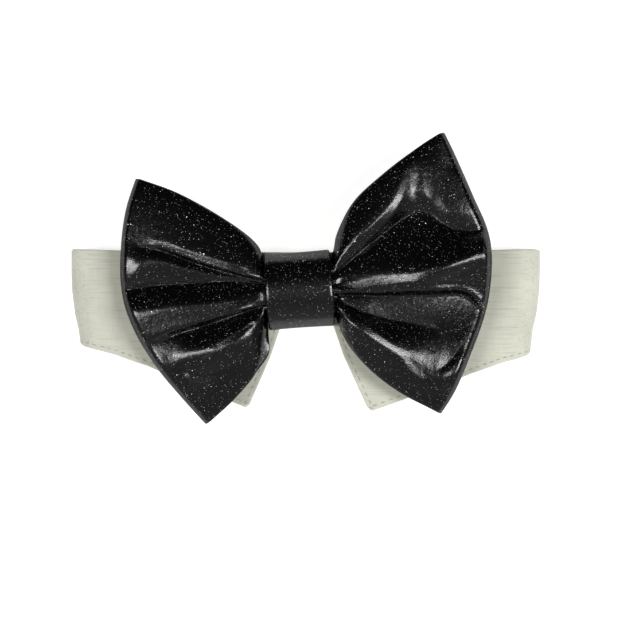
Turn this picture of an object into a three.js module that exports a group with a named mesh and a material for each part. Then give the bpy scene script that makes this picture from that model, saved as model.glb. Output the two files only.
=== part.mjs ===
// A dog's bow tie: a gathered bow of glossy vinyl on the front of a shirt collar, lying face up.
// Millimetres. X runs along the collar, Y from the hem up to the collar's top edge, Z away from the surface
// that it lies on. Tables give places in X and Y from the middle of the knot.
import * as THREE from "three";

// ---------------------------------------------------------------- driving sizes
const CLOTH = 1.4; // thickness of the collar's sewn cloth
const VINYL = 1.4; // thickness of a bow panel, two skins of vinyl back to back
const GAP = 0.35; // air between pieces that touch
const NECK_GAP = 8; // clear height of the flattened neck opening
const MIDDLE_OF_BOX = { x: 2.0, y: 4.0 }; // middle of the object's outline, from the middle of the knot

// Levels of the middle of each layer above the surface, stacked from the bottom up.
const BAND_BACK = CLOTH + GAP + CLOTH / 2;
const BAND_FRONT = BAND_BACK + CLOTH + NECK_GAP;
const LEAF_BACK = CLOTH / 2;
const LEAF_FRONT = BAND_FRONT + CLOTH + GAP;
const KNOT_BOTTOM = LEAF_FRONT + CLOTH / 2 + GAP;

// ---------------------------------------------------------------- small helpers
const lerp = THREE.MathUtils.lerp;
const smoothstep = THREE.MathUtils.smoothstep;

// Even steps from a to b, both ends included.
function steps(a, b, count) {
  return Array.from({ length: count + 1 }, (_, i) => lerp(a, b, i / count));
}

// A smooth curve through the rows of an [x, y] or [x, y, rise] table, read at a share of its length.
function curveThrough(rows) {
  const curve = new THREE.CatmullRomCurve3(
    rows.map(([x, y, rise = 0]) => new THREE.Vector3(x, y, rise)),
    false,
    "centripetal",
  );
  return (share) => curve.getPointAt(THREE.MathUtils.clamp(share, 0, 1));
}

// The value at x of a table of [x, value] rows whose x rises, held at the end values beyond it.
function valueAt(rows, x) {
  const next = rows.findIndex(([at]) => at >= x);
  if (next < 0) return rows[rows.length - 1][1];
  if (next === 0) return rows[0][1];
  const [x0, y0] = rows[next - 1];
  const [x1, y1] = rows[next];
  return lerp(y0, y1, (x - x0) / (x1 - x0));
}

// A closed wall of the given thickness on both sides of the surface pointAt(u, v). With closed, the last
// u joins the first.
function wall(pointAt, us, vs, thickness, closed = false) {
  const rows = us.length;
  const columns = vs.length;
  const middle = us.map((u) => vs.map((v) => pointAt(u, v)));
  const at = (i, j) => middle[closed ? (i + rows) % rows : THREE.MathUtils.clamp(i, 0, rows - 1)][
    THREE.MathUtils.clamp(j, 0, columns - 1)
  ];
  const vertices = [];
  for (const side of [0.5, -0.5]) {
    for (let i = 0; i < rows; i++) {
      for (let j = 0; j < columns; j++) {
        const alongU = at(i + 1, j).clone().sub(at(i - 1, j));
        const alongV = at(i, j + 1).clone().sub(at(i, j - 1));
        const normal = alongU.cross(alongV).normalize();
        vertices.push(at(i, j).clone().addScaledVector(normal, side * thickness));
      }
    }
  }
  const index = (side, i, j) => (side * rows + (i % rows)) * columns + j;
  const faces = [];
  const quad = (a, b, c, d) => faces.push(a, b, c, a, c, d);
  const lastRow = closed ? rows : rows - 1;
  for (let i = 0; i < lastRow; i++) {
    for (let j = 0; j < columns - 1; j++) {
      quad(index(0, i, j), index(0, i + 1, j), index(0, i + 1, j + 1), index(0, i, j + 1));
      quad(index(1, i, j), index(1, i, j + 1), index(1, i + 1, j + 1), index(1, i + 1, j));
    }
    quad(index(0, i, 0), index(1, i, 0), index(1, i + 1, 0), index(0, i + 1, 0));
    const top = columns - 1;
    quad(index(0, i, top), index(0, i + 1, top), index(1, i + 1, top), index(1, i, top));
  }
  if (!closed) {
    for (let j = 0; j < columns - 1; j++) {
      quad(index(0, 0, j), index(0, 0, j + 1), index(1, 0, j + 1), index(1, 0, j));
      const end = rows - 1;
      quad(index(0, end, j), index(1, end, j), index(1, end, j + 1), index(0, end, j + 1));
    }
  }
  return solidFrom(vertices, faces);
}

// An indexed geometry whose faces point outwards.
function solidFrom(vertices, faces) {
  let volume = 0;
  for (let i = 0; i < faces.length; i += 3) {
    const [a, b, c] = [vertices[faces[i]], vertices[faces[i + 1]], vertices[faces[i + 2]]];
    volume += a.dot(b.clone().cross(c));
  }
  if (volume < 0) faces.reverse();
  const geometry = new THREE.BufferGeometry().setFromPoints(vertices);
  geometry.setIndex(faces);
  geometry.computeVertexNormals();
  return geometry;
}

// ---------------------------------------------------------------- collar
// Seen flat, the collar is a strip that is rolled round a flattened loop: a front run, a half turn at each
// end and a back run. "Along" is the distance on the strip from the middle of the knot.
const TURN = (LEAF_FRONT - LEAF_BACK) / 2; // radius of the leaf's turn at each end
const BAND = { top: 11.4, hem: -10.6 };
const SIDES = {
  left: {
    sign: -1,
    end: 75.4,
    // where the leaf's front edge lies: [y, along]
    frontEdge: [[-38.9, 17.0], [-22.0, 9.6], [12.4, -2.2]],
    // the leaf's hem from the collar point to its end on the back: [along, y]
    hem: [
      [17, -38.9], [36, -31.0], [50, -24.9], [62, -21.2], [72, -19.0], [80, -17.2], [98, -12.8], [122, -10.6],
    ],
  },
  right: {
    sign: 1,
    end: 79.4,
    frontEdge: [[-40.1, 23.0], [-21.5, 14.4], [12.4, 2.8]],
    hem: [
      [23, -40.1], [40, -33.8], [57, -27.3], [68, -24.0], [76, -22.2], [84, -20.2], [100, -14], [126, -10.6],
    ],
  },
};
const LEAF_TOP = [[0, 12.4], [60, 13.1], [76, 13.6], [100, 12.6], [126, 11.4]];
const LEAF_BACK_END = 42; // how far from the middle the leaves end on the back
const LEAN = [[-22, 3.4], [-13, 2.4], [-8, 1.2], [0, 0.2], [6, 0]]; // the ends draw in towards the hem
const LEAN_REACH = 26; // length of collar over which they do
const DROOP = 2.4; // how far the collar points hang below the leaf
const LEAF_STEPS = { front: 9, turn: 7, back: 5, across: 8 }; // mesh steps of a leaf
const BAND_STEPS = { run: 5, turn: 7, across: 3 }; // mesh steps of half the band
const PATCH_INSET = { ends: 4, edges: 1 }; // of the closure patch from the leaves' ends and the band's edges

// How far along the strip a side's front run ends and its turn begins.
const runOf = (side) => side.end - CLOTH / 2 - TURN;

// The place in space of a point on the rolled strip; radius is that of the leaf's or the band's turn.
function onLoop(side, along, y, radius) {
  const run = runOf(side);
  const middle = (LEAF_FRONT + LEAF_BACK) / 2;
  const turnLength = Math.PI * TURN;
  let x;
  let z;
  if (along < run) {
    x = along;
    z = middle + radius;
  } else if (along < run + turnLength) {
    const angle = (along - run) / TURN;
    x = run + radius * Math.sin(angle);
    z = middle + radius * Math.cos(angle);
  } else {
    x = run - (along - run - turnLength);
    z = middle - radius;
  }
  const lean = valueAt(LEAN, y) * smoothstep(x, side.end - LEAN_REACH, side.end);
  return new THREE.Vector3(side.sign * (x - lean), y, z);
}

function leafGeometry(side) {
  const run = runOf(side);
  const turnEnd = run + Math.PI * TURN;
  const backEnd = turnEnd + (run - LEAF_BACK_END);
  const alongs = [
    ...steps(0, 1, LEAF_STEPS.front).slice(0, -1),
    ...steps(1, 2, LEAF_STEPS.turn).slice(0, -1),
    ...steps(2, 3, LEAF_STEPS.back),
  ];
  const pointAt = (u, v) => {
    // u: 0..1 front run, 1..2 turn, 2..3 back run
    const y0 = lerp(side.hem[0][1], LEAF_TOP[0][1], v);
    const front = valueAt(side.frontEdge, y0);
    let along;
    if (u <= 1) along = lerp(front, run, u);
    else if (u <= 2) along = lerp(run, turnEnd, u - 1);
    else along = lerp(turnEnd, backEnd, u - 2);
    const hem = valueAt(side.hem, along);
    const top = valueAt(LEAF_TOP, along);
    const y = u === 0 ? y0 : lerp(hem, top, v);
    const point = onLoop(side, along, y, TURN);
    const hang = smoothstep(-y, -BAND.hem, -side.hem[0][1]);
    if (u <= 1) point.z -= DROOP * hang * smoothstep(run - along, 0, run / 2);
    return point;
  };
  return wall(pointAt, alongs, steps(0, 1, LEAF_STEPS.across), CLOTH);
}

function bandGeometry() {
  const radius = TURN - CLOTH - GAP;
  const turnLength = Math.PI * TURN;
  const places = [];
  for (const side of [SIDES.right, SIDES.left]) {
    const run = runOf(side);
    const half = [
      ...steps(0, run, BAND_STEPS.run).slice(0, -1),
      ...steps(run, run + turnLength, BAND_STEPS.turn).slice(0, -1),
      ...steps(run + turnLength, 2 * run + turnLength, BAND_STEPS.run).slice(0, -1),
    ].map((along) => ({ side, along }));
    if (side === SIDES.right) places.push(...half);
    else {
      half.push({ side, along: 2 * run + turnLength });
      places.push(...half.slice(1).reverse());
    }
  }
  const pointAt = (i, v) => {
    const { side, along } = places[i];
    return onLoop(side, along, lerp(BAND.hem, BAND.top, v), radius);
  };
  return wall(pointAt, places.map((_, i) => i), steps(0, 1, BAND_STEPS.across), CLOTH, true);
}

function closureGeometry() {
  const length = 2 * (LEAF_BACK_END - PATCH_INSET.ends);
  const geometry = new THREE.BoxGeometry(length, BAND.top - BAND.hem - 2 * PATCH_INSET.edges, CLOTH);
  geometry.translate(0, (BAND.top + BAND.hem) / 2, CLOTH / 2);
  return geometry;
}

// ---------------------------------------------------------------- knot
const KNOT = {
  halfLength: 10.6, // along X
  halfWidth: 12.5, // along Y
  top: KNOT_BOTTOM + 16.5,
  shoulder: 0.38, // share of its height at which it is widest
  bow: 0.35, // how far its free edges bow out in front
  tilt: THREE.MathUtils.degToRad(4), // it is turned a little on the collar
};
const KNOT_STEPS = { round: 36, along: 4 }; // mesh steps of the knot
const OVAL = { above: 2.2, below: 6 }; // powers of the soft oval above the shoulder and the squarer one below

// Half the knot's height above the shoulder, and below it, of a sleeve lying depth inside its outer face.
const knotRise = (depth) => (KNOT.top - KNOT_BOTTOM) * (1 - KNOT.shoulder) - depth;
const knotDrop = (depth) => (KNOT.top - KNOT_BOTTOM) * KNOT.shoulder - depth;
const SHOULDER = KNOT_BOTTOM + (KNOT.top - KNOT_BOTTOM) * KNOT.shoulder;

// The YZ section of the knot, depth inside its outer face, at an angle from the top.
function knotSection(angle, depth) {
  const y = Math.sin(angle);
  const z = Math.cos(angle);
  const power = z > 0 ? OVAL.above : OVAL.below;
  const reach = (Math.abs(y) ** power + Math.abs(z) ** power) ** (-1 / power);
  return [
    y * reach * (KNOT.halfWidth - depth),
    SHOULDER + z * reach * (z > 0 ? knotRise(depth) : knotDrop(depth)),
  ];
}

// Height of the knot's arch at y, depth inside its outer face.
function archHeight(y, depth) {
  const share = Math.min(Math.abs(y) / (KNOT.halfWidth - depth), 1);
  return SHOULDER + knotRise(depth) * (1 - share ** OVAL.above) ** (1 / OVAL.above);
}

function knotGeometry() {
  const pointAt = (angle, v) => {
    const [y, z] = knotSection(angle, VINYL / 2);
    const x = lerp(-1, 1, v) * (KNOT.halfLength + KNOT.bow * Math.cos(angle));
    return new THREE.Vector3(x, y, z);
  };
  const angles = steps(0, 2 * Math.PI, KNOT_STEPS.round).slice(0, -1);
  const geometry = wall(pointAt, angles, steps(0, 1, KNOT_STEPS.along), VINYL, true);
  return geometry.rotateZ(KNOT.tilt);
}

// ---------------------------------------------------------------- bow wings
const WAIST_DEPTH = VINYL + GAP + VINYL / 2; // of the gathered panels inside the knot's outer face
const WAIST = {
  x: KNOT.halfLength + 1.0, // where the wings leave the knot
  frontHalfWidth: KNOT.halfWidth - WAIST_DEPTH - 0.6, // it clears the knot's sides by 0.6
  rearHalfWidth: KNOT.halfWidth - WAIST_DEPTH - 1.4, // and by 1.4 at the squarer bottom
  slack: 0.5, // how far the front panel lies under the knot's inside
};
const REAR_LEVEL = KNOT_BOTTOM + WAIST_DEPTH + 0.3; // of the rear panel under the knot
const REAR_LIFT = 1.0; // how far the rear panel rises towards the outer fold
const FOLD_RADIUS = { tip: 2.6, middle: 4.6, fullness: 0.45 }; // of the outer fold, and how soon it widens
const CROWN = { height: 1.4, atTips: 0.5, fall: 1.5 }; // swell of the front panel and how it dies away
const CROWN_LENGTH = 44; // length of panel over which it does
const GATHER_REACH = 0.35; // share of the panel over which it opens from the waist's arch
const TANGENT_STEP = 0.04; // share of the outer fold over which its direction is taken

// Edges of each wing as [x, y] from the knot outwards, and its outer fold from the lower tip to the upper
// one. Folds run from the knot outwards through [x, y, rise], the rise above or below the plain panel.
const WINGS = {
  left: {
    sign: -1,
    top: [[-13.2, 12.8], [-15.6, 16.0], [-25.4, 23.2], [-40.0, 31.3]],
    bottom: [[-12.2, -18.0], [-14.4, -26.6], [-21.3, -35.3]],
    rearBottom: [[-10.4, -15.5], [-10.0, -20.5], [-13.1, -25.6], [-21.3, -35.3]],
    outer: [
      [-30.4, -43.8], [-38.4, -34.9], [-46.6, -24.9], [-53.7, -13.0],
      [-57.6, -1.4], [-58.0, 13.1], [-56.5, 25.5], [-53.3, 36.2],
    ],
    folds: {
      "middle crest": [
        [-24, 4.4, -2.2], [-30, 5.4, -1.4], [-36, 7, 0.2], [-42, 9, 1.2], [-47, 10, 1.7],
        [-50.4, 9.6, 1.9], [-51.8, 6.4, 1.8], [-52.4, 3.4, 0.8],
      ],
      "lower crest": [
        [-20, -2.4, -0.2], [-30, -4.0, 0.4], [-40, -4.6, 0.8], [-46, -5.4, 0.9], [-50, -6.6, 0.8],
        [-54, -7.6, 0.2],
      ],
      "hem ridge": [
        [-11.6, -8.7, 0], [-15, -11.8, 1], [-20, -15.6, 2.2], [-24, -18, 2.4], [-28, -19.8, 1.9],
        [-32, -20.8, 1.2], [-34.4, -20.9, 0.6],
      ],
      "upper lip": [
        [-11.2, 3.7, 0], [-20, 5.8, 0.5], [-30, 8.4, 0.6], [-38, 11.2, 0.5], [-43.6, 13.4, 0.4],
        [-48, 14.2, 0.2], [-53, 14.4, 0.0],
      ],
      "upper pocket": [
        [-11.8, 2.4, -1.3], [-20, 4.4, -2.4], [-30, 6.8, -3.2], [-38, 9.4, -2.8], [-43.6, 11.6, -1.8],
        [-48, 12.6, -0.8], [-50.6, 12.8, -0.3],
      ],
      "middle valley": [
        [-24, 3, -2.6], [-30, 2.4, -3.4], [-40, 1.8, -3.4], [-48, 1.2, -2.4], [-54, 0.2, -1.6],
        [-58, -0.6, -1.2],
      ],
      "bulge foot": [[-56.2, 9, 1.6], [-56.6, 5, 1.1], [-56.4, 2.4, 0.1]],
      "lower lip": [
        [-11.2, -4.0, 0], [-20, -6.5, 0.2], [-30, -9.4, 0.4], [-36, -11.2, 0.5], [-42, -13.0, 0.6],
        [-47, -15.3, 0.4], [-50, -17.0, 0.0],
      ],
      "lower pocket": [
        [-11.6, -5.4, -1.2], [-20, -8.2, -2.4], [-28, -11.4, -3.7], [-33, -13, -3.8], [-37, -13.8, -2.2],
        [-42, -14.8, -1.4], [-47.6, -17.2, -0.8],
      ],
      "outer dent": [[-35.8, -15.4, -2.4], [-37.2, -19.2, -1.8], [-38.8, -23, -1.4], [-40.4, -26.6, -0.8]],
      "hem hollow": [[-19, -23.4, 0.2], [-25, -26.4, -0.4], [-31, -27.6, -0.8], [-36.4, -26.6, -0.8]],
    },
  },
  right: {
    sign: 1,
    top: [[11.8, 13.6], [12.6, 17.8], [17.8, 28.1], [27.4, 37.3], [39.8, 46.8]],
    bottom: [[16.0, -17.1], [23.5, -26.0], [32.8, -33.1]],
    outer: [
      [46.0, -40.4], [50.3, -33.5], [56.3, -19.3], [60.8, -6.2],
      [62.4, 7.4], [61.4, 18.6], [56.4, 30.6], [50.2, 44.7], [47.1, 51.2],
    ],
    folds: {
      "upper ridge": [
        [11.7, 7.0, 0], [15, 11.0, 1.2], [20, 15.8, 2.2], [25, 20.5, 2.8], [29, 25.0, 3.1],
        [31.6, 30.0, 3.2], [33.4, 35.4, 2.6], [35.6, 39.8, 1.4],
      ],
      "tent": [[38.4, 38, 1.2], [39, 33, 1.7], [39.8, 28.8, 1.4]],
      "tip roll": [[44.6, 46.6, 0.6], [46.8, 42.2, 0.9], [48.6, 37.6, 0.7]],
      "shelf": [[45.6, 25.4, 0.0], [50, 24.4, 0.4], [56, 24.0, 0.8], [59.4, 23.0, 0.8]],
      "middle crest": [
        [12.4, 2, 0.2], [20, 2.8, 0.3], [26, 3.4, 0.8], [33, 4, 2.2], [40, 4.8, 3.6], [46, 5.8, 4.6],
        [51, 7.2, 4.8], [55.4, 9.8, 4], [59, 13.8, 2.4],
      ],
      "spur": [[37.6, -20.6, 1.5], [41.2, -21.2, 0.6]],
      "lower crest": [
        [12.5, -5.7, 0], [15, -8.2, 1.0], [20, -11.9, 2.2], [25, -15.7, 2.8], [30, -18.8, 2.8],
        [34, -20.8, 2.6], [36.6, -23.8, 2.4], [39.6, -27.2, 2.1], [42, -28.4, 2.0], [45, -28.8, 2.0],
        [49.4, -26.8, 2.3], [52.2, -22.6, 2.4], [54.2, -18.4, 2.2], [56.2, -14, 1.6], [57.8, -9.4, 0.8],
      ],
      "upper valley": [
        [11.9, 5.0, -1.6], [20, 10.6, -3.2], [25, 14.6, -3.8], [30, 18.6, -4.2], [35, 22.6, -4.0],
        [39, 24.4, -3.2], [42.4, 23.4, -2.4], [45, 20.4, -1.8], [50, 18.4, -1.4], [56, 18.2, -0.8],
        [60.6, 18.8, -0.4],
      ],
      "tent foot": [[44.4, 38.0, 0.2], [45.4, 32.5, 0.0], [46.0, 28.0, -0.2]],
      "facet foot": [[60.4, 11.0, -0.4], [60.8, 6.0, -1.6], [60.4, 0.8, -1.8], [59.4, -3.0, -1.0]],
      "middle edge": [
        [12.4, -0.3, 0.1], [25, -0.4, 0.5], [33, -0.2, 1.6], [40, 0, 3], [47, 0.6, 4], [52, 0.6, 4.2],
        [55.6, -0.6, 3.6], [57.8, -2.8, 2.6], [59, -5.4, 1.2],
      ],
      "edge foot": [
        [12.4, -1.8, -1.8], [25, -2.1, -2.8], [38, -2.1, -3.2], [46, -1.8, -3.2], [52, -2, -3],
        [55.4, -3.6, -2.6], [57.6, -6.2, -1.8], [59, -9, -0.8],
      ],
      "lower valley": [
        [12.6, -3.5, -1.8], [20, -7, -3], [28, -9.4, -3.5], [36, -10.8, -3.6], [42, -12.2, -3.4],
        [46, -12.8, -3],
      ],
      "tip hollow": [
        [28, -26.4, 0.2], [35, -31.4, 0.0], [42, -34.4, 0.0], [47.5, -33.4, 0.0], [51.8, -28.4, 0.2],
      ],
    },
  },
};

// Mesh steps of a wing, from the knot round to the knot, and across from hem to top.
const WING_STEPS = { waist: 2, front: 20, turn: 6, rear: 7, across: 28 };
const FINE = 4; // finer steps on which the folds are worked out
const LINE_STEPS = 100; // along each fold line
const STRETCH_ROUNDS = 400;
const SOFTEN_ROUNDS = 4;

// The plan of one panel: a patch between its top and bottom edges, the waist and the outer fold's middle.
function planOf(topRows, bottomRows, outerAt) {
  const top = curveThrough(topRows);
  const bottom = curveThrough(bottomRows);
  const inner = (v) => bottom(0).lerp(top(0), v);
  return (u, v) => {
    const point = bottom(u).multiplyScalar(1 - v).addScaledVector(top(u), v);
    point.addScaledVector(inner(v), 1 - u).addScaledVector(outerAt(v), u);
    point.addScaledVector(bottom(0), -(1 - u) * (1 - v)).addScaledVector(top(0), -(1 - u) * v);
    return point.addScaledVector(bottom(1), -u * (1 - v)).addScaledVector(top(1), -u * v);
  };
}

// The row and column of the place in a grid that lies nearest to a point in plan.
function nearestPlace(places, point) {
  let best = Infinity;
  let found;
  places.forEach((row, i) => {
    row.forEach((place, j) => {
      const distance = Math.hypot(place.x - point.x, place.y - point.y);
      if (distance < best) {
        best = distance;
        found = [i, j];
      }
    });
  });
  return found;
}

// Rise of the folds over a front panel: set on the fold lines, and stretched evenly between them.
function foldField(folds, plan) {
  const rows = WING_STEPS.front * FINE;
  const columns = WING_STEPS.across * FINE;
  const places = steps(0, 1, rows).map((u) => steps(0, 1, columns).map((v) => plan(u, v)));
  const rise = places.map((row) => row.map(() => 0));
  const held = places.map((row) => row.map(() => false));
  for (const line of Object.values(folds)) {
    const at = curveThrough(line);
    for (const share of steps(0, 1, LINE_STEPS)) {
      const point = at(share);
      const [i, j] = nearestPlace(places, point);
      rise[i][j] = point.z;
      held[i][j] = true;
    }
  }
  // nothing stands above the knot's inside at the waist
  rise[0] = rise[0].map((height) => Math.min(height, 0));
  held[0].fill(true);
  const stretch = (isHeld) => {
    for (let i = 0; i <= rows; i++) {
      for (let j = 0; j <= columns; j++) {
        if (isHeld(i, j)) continue;
        const [before, after] = [rise[Math.max(i - 1, 0)][j], rise[Math.min(i + 1, rows)][j]];
        const [below, above] = [rise[i][Math.max(j - 1, 0)], rise[i][Math.min(j + 1, columns)]];
        rise[i][j] = (before + after + below + above) / 4;
      }
    }
  };
  for (let round = 0; round < STRETCH_ROUNDS; round++) stretch((i, j) => held[i][j]);
  for (let round = 0; round < SOFTEN_ROUNDS; round++) stretch(() => false);
  return (u, v) => rise[Math.round(u * rows)][Math.round(v * columns)];
}

// A place on the stretch of a panel that is gathered inside the knot, share 0 at the knot's middle.
function inWaist(wing, share, v, halfWidth) {
  const x = wing.sign * lerp(GAP, WAIST.x, share);
  const point = new THREE.Vector3(x, lerp(-1, 1, v) * halfWidth, 0);
  return point.applyAxisAngle(new THREE.Vector3(0, 0, 1), KNOT.tilt);
}

function wingGeometry(wing) {
  const outer = curveThrough(wing.outer);
  const outward = (v) => {
    const along = outer(Math.min(v + TANGENT_STEP, 1)).sub(outer(Math.max(v - TANGENT_STEP, 0)));
    return new THREE.Vector3(along.y, -along.x, 0).multiplyScalar(wing.sign).normalize();
  };
  const fullness = (v) => Math.sin(Math.PI * v);
  const radius = (v) => lerp(FOLD_RADIUS.tip, FOLD_RADIUS.middle, fullness(v) ** FOLD_RADIUS.fullness);
  const crown = (v) => CROWN.height * lerp(CROWN.atTips, 1, fullness(v));
  // the front panel reaches the outer fold sloping down by this angle, and the fold turns on from it
  const lean = (v) => Math.atan((CROWN.fall * crown(v)) / CROWN_LENGTH);
  const creaseAt = (v) => outer(v).addScaledVector(outward(v), -radius(v) - VINYL / 2);
  const frontEdgeAt = (v) => creaseAt(v).addScaledVector(outward(v), radius(v) * Math.sin(lean(v)));

  const plan = (topRows, bottomRows, halfWidth, outerAt) => {
    const edge = (rows, v) => {
      const start = inWaist(wing, 1, v, halfWidth);
      const end = outerAt(v);
      return [[start.x, start.y], ...rows, [end.x, end.y]];
    };
    return planOf(edge(topRows, 1), edge(bottomRows, 0), outerAt);
  };
  const front = plan(wing.top, wing.bottom, WAIST.frontHalfWidth, frontEdgeAt);
  const rear = plan(wing.top, wing.rearBottom ?? wing.bottom, WAIST.rearHalfWidth, creaseAt);
  const folds = foldField(wing.folds, front);

  const rearHeight = (u) => REAR_LEVEL + REAR_LIFT * u * u;
  const waistHeight = (v) => {
    const y = lerp(-1, 1, v) * WAIST.frontHalfWidth;
    return archHeight(y, WAIST_DEPTH + WAIST.slack) - WAIST.slack;
  };
  const panelHeight = (v) => rearHeight(1) + radius(v) * (1 + Math.cos(lean(v)));
  const pointAt = (s, v) => {
    // s: -1..0 under the knot, 0..1 front panel, 1..2 outer fold, 2..3 rear panel, 3..4 under the knot
    if (s < 0) {
      const point = inWaist(wing, 1 + s, v, WAIST.frontHalfWidth);
      return point.setZ(waistHeight(v) + folds(0, v) * smoothstep(1 + s, 0, 1));
    }
    if (s <= 1) {
      const swelled = panelHeight(v) + crown(v) * (1 - s ** CROWN.fall);
      const height = lerp(waistHeight(v), swelled, smoothstep(s, 0, GATHER_REACH));
      return front(s, v).setZ(height + folds(s, v));
    }
    if (s < 2) {
      const angle = lerp(lean(v), Math.PI, s - 1);
      const point = creaseAt(v).addScaledVector(outward(v), radius(v) * Math.sin(angle));
      const settled = folds(1, v) * (1 - smoothstep(s, 1, 2));
      return point.setZ(rearHeight(1) + radius(v) * (1 + Math.cos(angle)) + settled);
    }
    if (s <= 3) return rear(3 - s, v).setZ(rearHeight(3 - s));
    return inWaist(wing, 4 - s, v, WAIST.rearHalfWidth).setZ(REAR_LEVEL);
  };
  const strip = [
    ...steps(-1, 0, WING_STEPS.waist).slice(0, -1),
    ...steps(0, 1, WING_STEPS.front).slice(0, -1),
    ...steps(1, 2, WING_STEPS.turn).slice(0, -1),
    ...steps(2, 3, WING_STEPS.rear).slice(0, -1),
    ...steps(3, 4, WING_STEPS.waist),
  ];
  return wall(pointAt, strip, steps(0, 1, WING_STEPS.across), VINYL);
}

// ---------------------------------------------------------------- materials and assembly
const vinyl = new THREE.MeshStandardMaterial({ color: 0x141615, roughness: 0.28, metalness: 0 });
const cloth = new THREE.MeshStandardMaterial({ color: 0xcdcfbf, roughness: 0.9, metalness: 0 });
const closureCloth = new THREE.MeshStandardMaterial({ color: 0xd6d7cb, roughness: 0.95, metalness: 0 });

function piece(name, geometry, material) {
  const mesh = new THREE.Mesh(geometry, material.clone());
  mesh.name = name;
  return mesh;
}

const bow = new THREE.Group();
bow.add(
  piece("bow_wing_left", wingGeometry(WINGS.left), vinyl),
  piece("bow_wing_right", wingGeometry(WINGS.right), vinyl),
  piece("knot_band", knotGeometry(), vinyl),
);

const collar = new THREE.Group();
collar.add(
  piece("collar_leaf_left", leafGeometry(SIDES.left), cloth),
  piece("collar_leaf_right", leafGeometry(SIDES.right), cloth),
  piece("collar_band", bandGeometry(), cloth),
  piece("closure_patch", closureGeometry(), closureCloth),
);

const bowTie = new THREE.Group();
bowTie.add(bow, collar);
bowTie.position.set(-MIDDLE_OF_BOX.x, -MIDDLE_OF_BOX.y, 0);

const part = new THREE.Group();
part.add(bowTie);
export default part;
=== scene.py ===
"""A dog's bow tie: a gathered bow of black glitter vinyl on a pale shirt collar, lying face up.

Shapes are worked out in millimetres from the middle of the knot, X along the collar, Y up to its top edge,
Z away from the surface, and turned into metres in the frame when a mesh is made.
"""

import math

import bmesh
import bpy
import numpy as np
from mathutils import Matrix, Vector


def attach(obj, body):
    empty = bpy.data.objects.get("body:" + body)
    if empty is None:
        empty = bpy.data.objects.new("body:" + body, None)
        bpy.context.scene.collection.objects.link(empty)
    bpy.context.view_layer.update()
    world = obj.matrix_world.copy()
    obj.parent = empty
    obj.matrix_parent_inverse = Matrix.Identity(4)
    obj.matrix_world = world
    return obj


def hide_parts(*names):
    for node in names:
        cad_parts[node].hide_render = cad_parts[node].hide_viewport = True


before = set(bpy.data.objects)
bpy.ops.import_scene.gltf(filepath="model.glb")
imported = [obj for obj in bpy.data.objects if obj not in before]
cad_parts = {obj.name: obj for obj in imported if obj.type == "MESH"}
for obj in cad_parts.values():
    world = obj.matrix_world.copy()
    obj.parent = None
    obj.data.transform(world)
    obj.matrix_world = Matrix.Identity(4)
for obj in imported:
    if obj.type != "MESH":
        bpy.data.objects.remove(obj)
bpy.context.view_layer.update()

# ------------------------------------------------------------------ driving sizes, as in the CAD model
MM = 0.001
MIDDLE_OF_BOX = np.array([2.0, 4.0, 0.0])  # the frame's origin, from the middle of the knot
CLOTH = 1.4  # thickness of a doubled layer of shirt cloth
VINYL = 1.4  # and of the bow's vinyl
GAP = 0.35  # clearance between layers
NECK_GAP = 8.0  # inside the flattened loop

# heights of the middle of each layer, and of the knot's underside
LEAF_BACK = CLOTH / 2
BAND_BACK = CLOTH + GAP + CLOTH / 2
BAND_FRONT = BAND_BACK + CLOTH + NECK_GAP
LEAF_FRONT = BAND_FRONT + CLOTH + GAP
KNOT_BOTTOM = LEAF_FRONT + CLOTH / 2 + GAP


# ------------------------------------------------------------------ small helpers
def mix(a, b, share):
    """The value a share of the way from a to b."""
    return a + (b - a) * share


def smoothstep(x, low, high):
    """A smooth step from 0 at low to 1 at high."""
    t = np.clip((np.asarray(x, float) - low) / (high - low), 0.0, 1.0)
    return t * t * (3 - 2 * t)


def curve_through(rows, samples=60):
    """A centripetal Catmull-Rom curve through rows of points, read at a share of its length."""
    points = np.array(rows, float)
    points = np.vstack([2 * points[0] - points[1], points, 2 * points[-1] - points[-2]])
    pieces = []
    for a, b, c, d in zip(points, points[1:], points[2:], points[3:]):
        ta, tb, tc = (math.sqrt(np.linalg.norm(q - p)) for p, q in ((a, b), (b, c), (c, d)))
        start = tb * ((b - a) / ta - (c - a) / (ta + tb) + (c - b) / tb)
        end = tb * ((c - b) / tb - (d - b) / (tb + tc) + (d - c) / tc)
        t = np.linspace(0, 1, samples)[:, None]
        pieces.append(
            b + start * t + (-3 * b + 3 * c - 2 * start - end) * t**2 + (2 * b - 2 * c + start + end) * t**3
        )
    line = np.vstack([piece[:-1] for piece in pieces] + [pieces[-1][-1:]])
    length = np.concatenate([[0], np.cumsum(np.linalg.norm(np.diff(line, axis=0), axis=1))])

    def at(share):
        where = np.clip(share, 0, 1) * length[-1]
        return np.stack([np.interp(where, length, column) for column in line.T], -1)

    return at


def value_at(rows, x):
    """The value at x of a table of (x, value) rows."""
    table = np.array(rows, float)
    return np.interp(x, table[:, 0], table[:, 1])


# ------------------------------------------------------------------ meshes
def normals_of(points, closed):
    """Unit normals of a grid of points; closed when its last row joins the first."""
    if closed:
        along_u = np.roll(points, -1, 0) - np.roll(points, 1, 0)
    else:
        along_u = np.gradient(points, axis=0)
    normal = np.cross(along_u, np.gradient(points, axis=1))
    return normal / np.linalg.norm(normal, axis=-1, keepdims=True)


def edge_distance(points, closed):
    """How far each point of a grid lies from its nearest edge, along the grid's lines."""
    def from_ends(axis):
        step = np.linalg.norm(np.diff(points, axis=axis), axis=-1)
        start = np.concatenate([np.zeros_like(step.take([0], axis)), np.cumsum(step, axis)], axis)
        return np.minimum(start, start.take([-1], axis) - start)

    across = from_ends(1)
    return across if closed else np.minimum(across, from_ends(0))


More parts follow.
